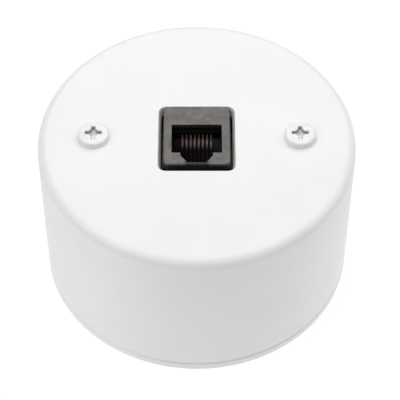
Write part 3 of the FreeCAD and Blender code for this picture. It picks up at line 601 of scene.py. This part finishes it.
def white_powder_coat():
    """White coated steel of the cover screws.

    The upper walls of the recess are painted grey as painted shade, the lower recess keeps the white coat,
    and the shank is uncoated steel.
    """
    surface = Surface("white_powder_coat")
    across = surface.math("ABSOLUTE", surface.along("X"))
    from_screw = surface.math("SUBTRACT", across, middle_of("cover_screw_right")[0])
    reach = surface.math("SQRT", surface.math("ADD", surface.math("POWER", from_screw, 2.0),
                                              surface.math("POWER", surface.along("Y"), 2.0)))
    inside = surface.falling(reach, SHADE_AND_BARE_REACH, SHADE_AND_BARE_REACH + SHADE_AND_BARE_BLEND)
    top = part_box("cover_screw_right")[1].z
    level = surface.along("Z")
    below_top = surface.falling(level, top - SHADE_AND_BARE_DEPTH, top - COATED_DEPTH)
    above_lower_recess = surface.rising(level, top - LOWER_RECESS_DEPTH, top - LOWER_RECESS_EDGE_DEPTH)
    shank = surface.falling(level, top - SHANK_DEPTH, top - SHANK_EDGE_DEPTH)
    shaded_and_bare = surface.product(below_top, surface.math("MAXIMUM", above_lower_recess, shank))
    # painted shade: grey on the upper walls of the recess; the shank is uncoated steel
    surface.changed(surface.product(inside, shaded_and_bare), BARE_STEEL_AND_RECESS_SHADE)
    return surface.material


def cast_zinc():
    """Die-cast zinc with fine pits, with painted shade just behind the face and on the lip below the latch
    channel.
    """
    surface = Surface("cast_zinc")
    surface.bump(surface.cells(PIT_SIZE), PIT_DEPTH, PIT_STRENGTH)
    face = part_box("jack_body")[1].z
    level = surface.along("Z")
    behind = surface.falling(level, face - CAST_SHADE_DEPTH, face - CAST_FACE_DEPTH)
    deeper = surface.spread(level, CAST_SHADE_SHARE, 1.0, face - CAST_SHADE_END, face - CAST_SHADE_FADE)
    # painted shade on the zinc just behind the face, weaker deeper down
    surface.changed(surface.product(behind, deeper), CAST_PAINTED_SHADE)
    # painted shade on the lip below the latch channel
    beside = surface.falling(surface.math("ABSOLUTE", surface.along("X")), LIP_HALF_WIDTH, LIP_FADE)
    before = surface.falling(surface.along("Y"), LIP_NEAR, LIP_FAR)
    on_face = surface.rising(level, face - CAST_SHADE_DEPTH, face - CAST_FACE_DEPTH)
    surface.changed(surface.product(surface.product(beside, before), on_face), CAST_LIP_SHADE)
    return surface.material


def changed_below(name, depth, full_depth, colour):
    """A finish that turns into another colour between two depths below the jack's face."""
    surface = Surface(name)
    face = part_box("jack_body")[1].z
    surface.changed(surface.falling(surface.along("Z"), face - full_depth, face - depth), colour)
    return surface.material


def circuit_board():
    """Green solder mask over copper tracks."""
    surface = Surface("circuit_board")
    tracks = surface.cells(TRACK_SIZE, squared_tracks=True)
    surface.colours(tracks, *surface.finish.colours, *TRACK_SPAN)
    surface.bump(tracks, TRACK_DEPTH, TRACK_STRENGTH)
    return surface.material


def pale_floor():
    """Plain pale floor that glows like a light table, brightest round the object and dark under it."""
    surface = Surface("pale_floor")
    distance = surface.tree.nodes.new("ShaderNodeVectorMath")
    distance.operation = "LENGTH"
    surface.tree.links.new(surface.place, distance.inputs[0])
    reach = distance.outputs["Value"]
    glow = surface.spread(reach, FLOOR_GLOW, FLOOR_FAR_GLOW, GLOW_RADIUS, GLOW_END)
    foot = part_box("base")[1].x
    open_floor = surface.rising(reach, foot - FLOOR_SHADE_START, foot - FLOOR_SHADE_END)
    surface.shader.inputs["Emission Color"].default_value = WHITE
    surface.tree.links.new(surface.product(glow, open_floor), surface.shader.inputs["Emission Strength"])
    return surface.material


# ---- Housing -------------------------------------------------------------------------------------------

def cover_visual():
    """The cover: one turned cup with its window, screw holes, bosses, ribs and break-out panel."""
    low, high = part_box("cover")
    carrier_low, carrier_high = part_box("jack_carrier")
    radius, inner = high.x, high.x - COVER_WALL
    underside = high.z - COVER_TOP
    profile = [(inner, low.z), (radius - SEAM_BEVEL, low.z), (radius, low.z + SEAM_BEVEL)]
    profile += quarter_round(radius - COVER_EDGE_ROUND, high.z - COVER_EDGE_ROUND, COVER_EDGE_ROUND, 0, 90)
    profile += [(0, high.z), (0, underside)]
    profile += quarter_round(inner - COVER_ROOT_ROUND, underside - COVER_ROOT_ROUND, COVER_ROOT_ROUND, 90, 0)
    shell = turned("cover_visual", profile, TURN_STEPS)
    inside_top = high.z - COVER_TOP / 2
    pillar_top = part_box("base")[1].z
    ear_top = carrier_low.z + CARRIER_EAR_THICKNESS
    additions = []
    cuts = []
    for side in ("left", "right"):
        x = middle_of("cover_screw_" + side)[0]
        small_x = middle_of("carrier_screw_" + side)[0]
        wall = math.copysign(inner + COVER_WALL / 2, x)
        rib = box_outline(min(x, wall), max(x, wall), -RIB_THICKNESS / 2, RIB_THICKNESS / 2)
        additions += [rod("boss", PILLAR_RADIUS, pillar_top, inside_top, x),
                      rod("boss", CARRIER_BOSS_RADIUS, ear_top, inside_top, small_x),
                      prism("rib", rib, underside - RIB_DEPTH, inside_top)]
        pilot_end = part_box("carrier_screw_" + side)[1].z + CARRIER_PILOT_EXTRA
        cuts += [rod("hole", SCREW_HOLE_RADIUS, pillar_top - CUT_MARGIN, high.z + CUT_MARGIN, x),
                 rod("pilot", CARRIER_PILOT_RADIUS, ear_top - CUT_MARGIN, pilot_end, small_x)]
    window_near, window_far = carrier_low.y + WINDOW_WALL, carrier_high.y - WINDOW_WALL
    levels = (underside - CUT_MARGIN, high.z + CUT_MARGIN)
    outlines = []
    for level in levels:
        half_width = WINDOW_HALF_WIDTH + WINDOW_SIDE_TAPER * (level - underside) / COVER_TOP
        outlines.append(round_box_outline(-half_width, half_width, window_near, window_far, WINDOW_ROUND))
    cuts.append(prism("window", outlines[0], *levels, top_outline=outlines[1]))
    combined(shell, additions, "UNION")
    combined(shell, cuts + [breakout_groove(low.z, radius, inner)], "DIFFERENCE")
    return softened(shell, HOUSING_SOFTENING)


def breakout_groove(low, radius, inner):
    """Tool for the groove inside the far wall that outlines the break-out panel."""
    half = BREAKOUT_WIDTH / 2
    panel_half = half - BREAKOUT_GROOVE
    bottom, top = low - CUT_MARGIN, low + BREAKOUT_HEIGHT
    groove = prism("groove", box_outline(-half, half, 0, radius), bottom, top)
    panel = prism("panel", box_outline(-panel_half, panel_half, -CUT_MARGIN, radius + CUT_MARGIN),
                  bottom - CUT_MARGIN, top - BREAKOUT_GROOVE)
    start, end = inner - CUT_MARGIN, radius - BREAKOUT_SKIN
    reach = turned("reach", [(start, bottom), (end, bottom), (end, top), (start, top)], TURN_STEPS)
    combined(groove, [panel], "DIFFERENCE")
    return combined(groove, [reach], "INTERSECT")


def base_visual():
    """The base: turned plate and upstand, pillars with gussets, fixing slots, tie anchor and cable entry."""
    low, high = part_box("base")
    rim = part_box("cover")[0].z
    radius = high.x
    plate = turned("base_visual", [(0, low.z), (radius - FOOT_BEVEL, low.z), (radius, low.z + FOOT_BEVEL),
                                   (radius, rim - SEAM_BEVEL), (radius - SEAM_BEVEL, rim), (0, rim)],
                   TURN_STEPS)
    outer = radius - COVER_WALL - UPSTAND_GAP
    inner = outer - UPSTAND_WALL
    foot, upstand_top = rim / 2, rim + UPSTAND_HEIGHT
    upstand = turned("upstand", [(inner, foot), (outer, foot), (outer, upstand_top), (inner, upstand_top)],
                     TURN_STEPS)
    gap = BREAKOUT_WIDTH / 2 + BREAKOUT_SIDE_GAP
    combined(upstand, [prism("gap", box_outline(-gap, gap, 0, radius), rim, upstand_top + CUT_MARGIN)],
             "DIFFERENCE")
    additions = [upstand, tie_anchor(rim)]
    cuts = []
    for side in ("left", "right"):
        insert_low, insert_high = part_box("threaded_insert_" + side)
        x = middle_of("cover_screw_" + side)[0]
        additions += pillar_parts(x, foot, rim, high.z, outer)
        wide, wide_end = (insert_high.x - insert_low.x) / 2 + INSERT_SEAT_GAP, high.z + CUT_MARGIN
        core = COVER_SCREW.shank_radius + SCREW_CORE_GAP
        core_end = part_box("cover_screw_" + side)[0].z - SCREW_CORE_EXTRA
        cuts.append(turned("core", [(0, core_end), (core, core_end), (core, insert_low.z),
                                    (wide, insert_low.z), (wide, wide_end), (0, wide_end)],
                           SMALL_TURN_STEPS, x))
    seat_top = rim + FIXING_SEAT_HEIGHT
    for middle in (-FIXING_SPACING / 2, FIXING_SPACING / 2):
        seat = slot_outline(FIXING_RADIUS + FIXING_SEAT_WALL, FIXING_LENGTH + 2 * FIXING_SEAT_WALL, middle)
        slot = slot_outline(FIXING_RADIUS, FIXING_LENGTH, middle)
        additions.append(prism("seat", seat, foot, seat_top))
        cuts.append(prism("slot", slot, -CUT_MARGIN, seat_top + CUT_MARGIN))
    entry_wide, entry_end = ENTRY_RADIUS + ENTRY_BEVEL, rim + CUT_MARGIN
    cuts.append(turned("entry", [(0, -CUT_MARGIN), (ENTRY_RADIUS, -CUT_MARGIN),
                                 (ENTRY_RADIUS, rim - ENTRY_BEVEL), (entry_wide, rim),
                                 (entry_wide, entry_end), (0, entry_end)], TURN_STEPS // 2))
    combined(plate, additions, "UNION")
    combined(plate, cuts, "DIFFERENCE")
    return softened(plate, HOUSING_SOFTENING)


def pillar_parts(x, foot, rim, top, upstand_radius):
    """A tapered pillar and its three gussets."""
    way = math.copysign(1, x)
    wide = PILLAR_RADIUS + PILLAR_DRAFT / 2
    shaft = turned("pillar", [(0, PILLAR_START), (wide, PILLAR_START), (PILLAR_RADIUS, top), (0, top)],
                   SMALL_TURN_STEPS, x)
    half = RIB_THICKNESS / 2
    gusset_top = rim + GUSSET_HEIGHT
    reach = way * (upstand_radius - UPSTAND_WALL / 2)
    outer_outline = [(x, foot), (reach, foot), (reach, rim + UPSTAND_HEIGHT / 2),
                     (x + way * PILLAR_RADIUS, gusset_top), (x, gusset_top)]
    # The outline is drawn flat and stood up, so that its second coordinate is the level.
    stand_along_x = Matrix(((1, 0, 0, 0), (0, 0, -1, 0), (0, 1, 0, 0), (0, 0, 0, 1)))
    stand_along_y = Matrix(((0, 0, 1, 0), (1, 0, 0, 0), (0, 1, 0, 0), (0, 0, 0, 1)))
    parts = [shaft, prism("gusset", outer_outline, -half, half, stand_along_x)]
    for side in (-1, 1):
        outline = [(0, foot), (side * GUSSET_REACH, foot), (side * GUSSET_REACH, rim),
                   (side * PILLAR_RADIUS, gusset_top), (0, gusset_top)]
        parts.append(prism("gusset", outline, x - half, x + half, stand_along_y))
    return parts


def tie_anchor(rim):
    """Low bridge on the base for a cable tie."""
    turn = Matrix.Rotation(ANCHOR_BEARING, 4, "Z")
    half_width, half_length, half_tunnel = ANCHOR_WIDTH / 2, ANCHOR_LENGTH / 2, ANCHOR_TUNNEL_WIDTH / 2
    bridge = prism("anchor", round_box_outline(ANCHOR_RADIUS - half_width, ANCHOR_RADIUS + half_width,
                                               -half_length, half_length, ANCHOR_ROUND),
                   rim / 2, rim + ANCHOR_HEIGHT, turn)
    tunnel = prism("tunnel", box_outline(ANCHOR_RADIUS - ANCHOR_WIDTH, ANCHOR_RADIUS + ANCHOR_WIDTH,
                                         -half_tunnel, half_tunnel),
                   rim, rim + ANCHOR_TUNNEL_HEIGHT, turn)
    return combined(bridge, [tunnel], "DIFFERENCE")


# ---- Screws, inserts and pins --------------------------------------------------------------------------

def thread_radius(crest, depth, pitch, level):
    """Radius of a thread's flank at one level, as a function of the angle."""
    def radius(angle):
        turn = (level / pitch - angle / (2 * math.pi)) % 1.0
        ridge = 1 - abs(2 * turn - 1)
        return crest - depth * (1 - min(1.0, ridge * THREAD_STEEPNESS))
    return radius


def cross_recess(sizes):
    """Tool for the cross recess in a screw's head."""
    top = sizes.head_height
    wings = [tapered_slot("wing", sizes.recess_width, sizes.recess_slot, sizes.recess_depth, top)
             for _ in range(2)]
    wings[1].data.transform(Matrix.Rotation(math.pi / 2, 4, "Z"))
    floor_level, core = top - sizes.recess_depth, sizes.recess_core
    cone = turned("core", [(0, floor_level), (core * RECESS_FLOOR_SHARE, floor_level), (core, top),
                           (core, top + CUT_MARGIN), (0, top + CUT_MARGIN)], SMALL_TURN_STEPS)
    return combined(wings[0], [wings[1], cone], "UNION")


def cross_screw(node, sizes, upside_down=False):
    """Pan head screw with a real thread and a cross recess, stood where its CAD node is."""
    low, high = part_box(node)
    head = (high.x - low.x) / 2
    top, crest, depth, pitch = sizes.head_height, sizes.shank_radius, sizes.thread_depth, sizes.pitch
    length = high.z - low.z - top
    rows = int(length / pitch * ROWS_PER_THREAD)
    tip, run_out = -length, -pitch
    profile = [(0, tip), (crest - POINT_BEVEL, tip)]
    first = tip + POINT_BEVEL
    for i in range(rows + 1):
        level = first + (run_out - first) * i / rows
        profile.append((thread_radius(crest, depth, pitch, level), level))
    profile += [(crest - depth / 2, run_out / 2), (crest - depth / 2, 0), (head, 0)]
    profile += quarter_round(head - HEAD_ROUND, top - HEAD_CROWN - HEAD_ROUND, HEAD_ROUND, 0, HEAD_ROUND_END)
    profile += [(head * share, top - HEAD_CROWN * share ** 2) for share in CROWN_SHARES]
    profile.append((0, top))
    screw = turned(node + "_visual", profile, SMALL_TURN_STEPS)
    combined(screw, [cross_recess(sizes)], "DIFFERENCE")
    x, y, _ = middle_of(node)
    if upside_down:
        screw.data.transform(Matrix.Rotation(math.pi, 4, "X"))
        screw.data.transform(Matrix.Translation((x, y, low.z + top)))
    else:
        screw.data.transform(Matrix.Translation((x, y, high.z - top)))
    return smooth_shaded(screw)


def knurled(reach):
    """Radius of a knurled band as a function of the angle."""
    def radius(angle):
        tooth = (angle * KNURL_TEETH / (2 * math.pi)) % 1.0
        return reach - KNURL_DEPTH * abs(2 * tooth - 1)
    return radius


def insert_visual(node):
    """Brass insert with two knurled bands and a groove between them."""
    low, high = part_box(node)
    reach = (high.x - low.x) / 2
    neck = reach - INSERT_GROOVE_DEPTH
    x, _, middle = middle_of(node)
    half = INSERT_GROOVE_WIDTH / 2
    profile = [(INSERT_BORE_RADIUS, low.z), (neck, low.z), (knurled(reach), low.z + INSERT_END_TAPER),
               (knurled(reach), middle - half), (neck, middle - half), (neck, middle + half),
               (knurled(reach), middle + half), (knurled(reach), high.z - INSERT_END_TAPER),
               (neck, high.z), (INSERT_BORE_RADIUS, high.z)]
    return smooth_shaded(turned(node + "_visual", profile, STEPS_PER_TOOTH * KNURL_TEETH, x))


def pin_visual(node):
    """Steel hinge pin with bevelled ends, turned upright and then laid along X."""
    low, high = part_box(node)
    radius, half = (high.z - low.z) / 2, (high.x - low.x) / 2
    profile = [(0, -half), (radius - PIN_BEVEL, -half), (radius, -half + PIN_BEVEL),
               (radius, half - PIN_BEVEL), (radius - PIN_BEVEL, half), (0, half)]
    pin = turned(node + "_visual", profile, SMALL_TURN_STEPS // 2)
    pin.data.transform(Matrix.Rotation(math.pi / 2, 4, "Y"))
    pin.data.transform(Matrix.Translation((0, *middle_of(node)[1:])))
    return smooth_shaded(pin)


# ---- Pieces --------------------------------------------------------------------------------------------

def shown(piece, node, material):
    """Gives a piece its material alone, and lets it stand for its CAD node."""
    piece.data.materials.clear()
    piece.data.materials.append(material)
    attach(piece, frame["nodes"][node]["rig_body"])
    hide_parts(node)


def housing_pieces():
    """The moulded cover and base."""
    white = Surface("white_moulding").material
    shown(cover_visual(), "cover", white)
    shown(base_visual(), "base", white)


def fastener_pieces():
    """Screws, threaded inserts and hinge pins."""
    coat = white_powder_coat()
    steel = Surface("zinc_plated_steel").material
    brass = Surface("turned_brass").material
    for side in ("left", "right"):
        screw, small, insert = "cover_screw_" + side, "carrier_screw_" + side, "threaded_insert_" + side
        shown(cross_screw(screw, COVER_SCREW), screw, coat)
        shown(cross_screw(small, CARRIER_SCREW, upside_down=True), small, steel)
        shown(insert_visual(insert), insert, brass)
    for pin in ("hinge_pin_near", "hinge_pin_far"):
        shown(pin_visual(pin), pin, steel)


def jack_pieces():
    """The jack with its doors and contacts, and the carrier that holds it."""
    zinc = cast_zinc()
    for node in ("jack_body", "door_near", "door_far"):
        shown(softened_copy(node, SMALL_SOFTENING), node, zinc)
    black = Surface("black_moulding").material
    for node in ("jack_carrier", "jack_latch", "terminal_block"):
        shown(softened_copy(node, SMALL_SOFTENING), node, black)
    # the insert is painted darker as shade near the face, and paler deeper down as painted light
    insert_black_painted_shade = changed_below("insert_black_painted_shade", INSERT_SHADE_DEPTH, INSERT_LIGHT_DEPTH, INSERT_PAINTED_LIGHT)
    shown(softened_copy("contact_carrier", SMALL_SOFTENING), "contact_carrier", insert_black_painted_shade)
    smoke = Surface("smoke_moulding").material
    shown(softened_copy("wire_cap", SMALL_SOFTENING), "wire_cap", smoke)
    shown(softened_copy("jack_board", 0), "jack_board", circuit_board())
    # the contacts turn dark deeper in the mouth, as painted shade
    gold = changed_below("gold_plate", CONTACT_GOLD_DEPTH, CONTACT_SHADE_DEPTH, CONTACT_PAINTED_SHADE)
    bronze = Surface("spring_bronze").material
    tin = Surface("tinned_bronze").material
    for index in range(1, CONTACTS + 1):
        contact, terminal = "plug_contact_%d" % index, "idc_terminal_%d" % index
        shown(softened_copy(contact, CONTACT_SOFTENING, CONTACT_SOFTENING_STEPS), contact, gold)
        shown(softened_copy(terminal, TERMINAL_SOFTENING), terminal, tin)
    for spring in ("ground_spring_left", "ground_spring_right"):
        shown(softened_copy(spring, TERMINAL_SOFTENING), spring, bronze)


# ---- Stage ---------------------------------------------------------------------------------------------

def floor():
    """Plain pale floor under the base."""
    outline = round_box_outline(-FLOOR_HALF, FLOOR_HALF, -FLOOR_HALF, FLOOR_HALF, FLOOR_CORNER)
    piece = prism("floor", outline, -FLOOR_THICKNESS, 0)
    piece.data.materials.append(pale_floor())


def placed(thing, name, azimuth, elevation, distance):
    """Puts a lamp or a camera at angles in degrees and a distance, facing the middle of the object."""
    azimuth, elevation = math.radians(azimuth), math.radians(elevation)
    away = Vector((math.sin(azimuth) * math.cos(elevation), -math.cos(azimuth) * math.cos(elevation),
                   math.sin(elevation)))
    stand = bpy.data.objects.new(name, thing)
    stand.location = VIEW_TARGET + away * distance
    stand.rotation_euler = away.to_track_quat("Z", "Y").to_euler()
    bpy.context.scene.collection.objects.link(stand)
    return stand


def lights():
    """Soft square lights round the object, and an even dim surround."""
    for name, direction, distance, size, watts in LIGHTS:
        lamp = bpy.data.lights.new(name, "AREA")
        lamp.shape = "SQUARE"
        lamp.size = size
        lamp.energy = watts
        placed(lamp, name, *direction, distance)
    world = bpy.data.worlds.new("studio")
    world.use_nodes = True
    background = world.node_tree.nodes["Background"]
    background.inputs["Color"].default_value = WHITE
    background.inputs["Strength"].default_value = WORLD_STRENGTH
    bpy.context.scene.world = world
    bpy.context.scene.view_settings.view_transform = "Standard"


def camera():
    """Long lens, square to the two screws, looking down at the face."""
    lens = bpy.data.cameras.new("camera")
    lens.lens = LENS_LENGTH
    lens.sensor_width = SENSOR_WIDTH
    lens.shift_x = VIEW_SHIFT_X
    lens.shift_y = VIEW_SHIFT_Y
    lens.clip_start = VIEW_CLIP
    bpy.context.scene.camera = placed(lens, "camera", 0, VIEW_ELEVATION, VIEW_DISTANCE)


housing_pieces()
fastener_pieces()
jack_pieces()
floor()
lights()
camera()
